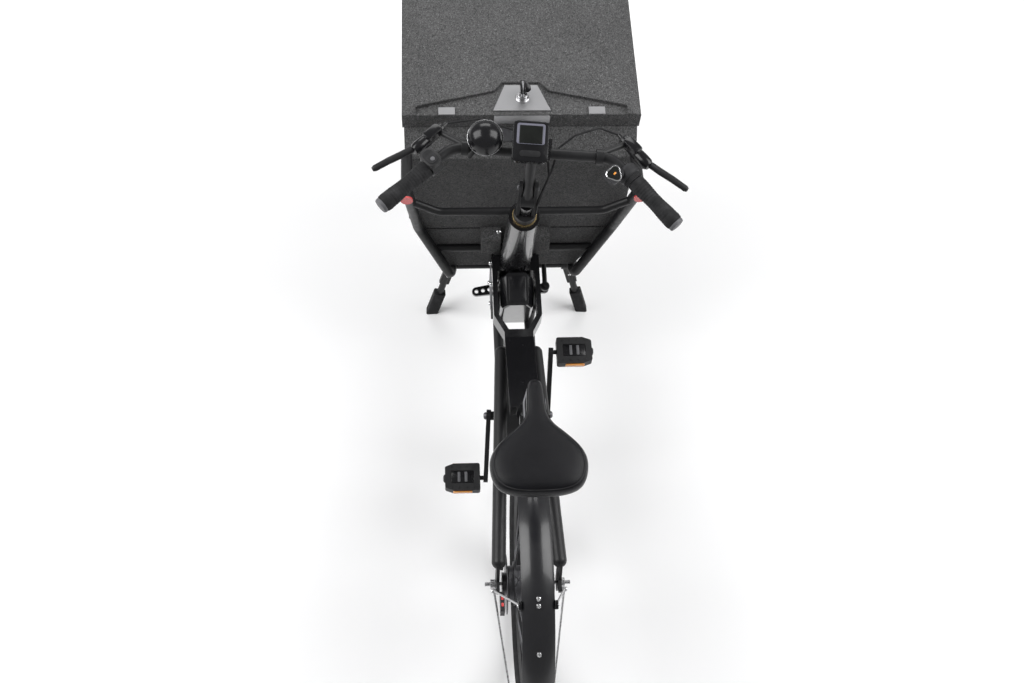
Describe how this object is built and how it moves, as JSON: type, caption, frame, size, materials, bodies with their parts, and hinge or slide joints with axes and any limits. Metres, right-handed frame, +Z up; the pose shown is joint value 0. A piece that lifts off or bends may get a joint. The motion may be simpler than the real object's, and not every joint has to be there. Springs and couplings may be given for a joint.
{
  "type": "electric cargo bike",
  "caption": "Two-wheeled electric cargo bike with a lidded foam box ahead of the handlebar, rod steering, mid drive, two-leg stand and full fenders.",
  "frame": {"origin": "on the ground under the middle of the bike's bounding box", "axes": "+X to the rider's right, +Y forward, +Z up"},
  "size_m": [0.7038, 2.2391, 1.1692],
  "materials": {
    "tyre": "rubber, worn matt",
    "black_metal": "gloss black powder coat",
    "satin_metal": "satin black",
    "steel": "bright steel",
    "alloy": "brushed, clear",
    "brass": "bright",
    "foam": "speckled expanded foam",
    "black_plastic": "fine grain",
    "gloss_plastic": "gloss black",
    "red_plastic": "red reflector",
    "saddle_leather": "fine grain",
    "rubber": "matt",
    "lamp": "lamp housing"
  },
  "bodies": {
    "frame": {"rear_fender": "gloss_plastic", "fender_stays": "steel", "rear_lamp": "red_plastic", "column_tube": "black_metal", "headset_race": "brass", "front_beam": "black_metal", "battery": "gloss_plastic", "coupling_block": "satin_metal", "cradle": "black_metal", "motor": "black_plastic", "lower_rails": "black_metal", "seat_tube": "black_metal", "rear_stays": "black_metal", "rear_axle": "steel", "rear_caliper": "satin_metal", "shift_box": "black_plastic", "seat_post": "black_metal", "saddle_rails": "steel", "saddle": "saddle_leather", "chain": "steel", "cage_right": "black_metal", "cage_left": "black_metal", "cage_bars": "black_metal", "box_tub": "foam", "red_reflectors": "red_plastic", "keeper_plate": "alloy", "hinge_tub": "steel", "headlamp": "lamp"},
    "steering": {"steering_shaft": "satin_metal", "stem": "black_metal", "handlebar": "black_metal", "grips": "rubber", "twist_shifter": "black_plastic", "remote_pod": "black_plastic", "brake_levers": "satin_metal", "display": "gloss_plastic", "bell": "black_metal", "brake_hoses": "rubber"},
    "fork": {"fork": "black_metal", "front_fender": "gloss_plastic"},
    "tie_rod": {"tie_rod": "steel"},
    "front_wheel": {"front_tyre": "tyre", "front_rim": "satin_metal", "front_hub": "steel"},
    "rear_wheel": {"rear_tyre": "tyre", "rear_rim": "satin_metal", "rear_hub": "steel"},
    "crank": {"crank": "black_metal"},
    "pedal_right": {"pedal_right": "black_plastic"},
    "pedal_left": {"pedal_left": "black_plastic"},
    "lid": {"lid": "foam", "lock_plate": "alloy", "lid_tabs": "alloy", "hinge_lid": "steel"},
    "stand": {"stand_legs": "satin_metal", "stand_feet": "rubber"}
  },
  "joints": [
    {"name": "steering_turn", "type": "hinge", "parent": "frame", "child": "steering", "pos_m": [0, 0.24384, 0], "axis": [0, -0.2588, 0.9659], "range_deg": [-40.5, 49.5]},
    {"name": "fork_turn", "type": "hinge", "parent": "frame", "child": "fork", "pos_m": [0, 0.90942, 0], "axis": [0, -0.2588, 0.9659], "range_deg": [-40.5, 49.5]},
    {"name": "rod_pivot", "type": "hinge", "parent": "steering", "child": "tie_rod", "pos_m": [0.09969, 0.17167, 0.23902], "axis": [0, -0.2588, 0.9659], "range_deg": [-49.5, 40.5]},
    {"name": "front_wheel_spin", "type": "hinge", "parent": "fork", "child": "front_wheel", "pos_m": [0.00227, 0.87341, 0.24598], "axis": [0.9969, -0.0758, -0.0203], "continuous": true},
    {"name": "rear_wheel_spin", "type": "hinge", "parent": "frame", "child": "rear_wheel", "pos_m": [0, -0.7365, 0.338], "axis": [1, 0, 0], "continuous": true},
    {"name": "crank_spin", "type": "hinge", "parent": "frame", "child": "crank", "pos_m": [0, -0.2585, 0.29], "axis": [1, 0, 0], "continuous": true},
    {"name": "pedal_right_spin", "type": "hinge", "parent": "crank", "child": "pedal_right", "pos_m": [0.153, -0.11593, 0.38259], "axis": [1, 0, 0], "continuous": true},
    {"name": "pedal_left_spin", "type": "hinge", "parent": "crank", "child": "pedal_left", "pos_m": [-0.153, -0.40107, 0.19741], "axis": [1, 0, 0], "continuous": true},
    {"name": "lid_hinge", "type": "hinge", "parent": "frame", "child": "lid", "pos_m": [0, 0.8315, 0.905], "axis": [-1, 0, 0], "range_deg": [0, 95]},
    {"name": "stand_fold", "type": "hinge", "parent": "frame", "child": "stand", "pos_m": [0, 0.2665, 0.208], "axis": [1, 0, 0], "range_deg": [0, 98]}
  ],
  "couplings": [
    {"joint": "fork_turn", "follows": "steering_turn", "ratio": 1},
    {"joint": "rod_pivot", "follows": "steering_turn", "ratio": -1}
  ]
}
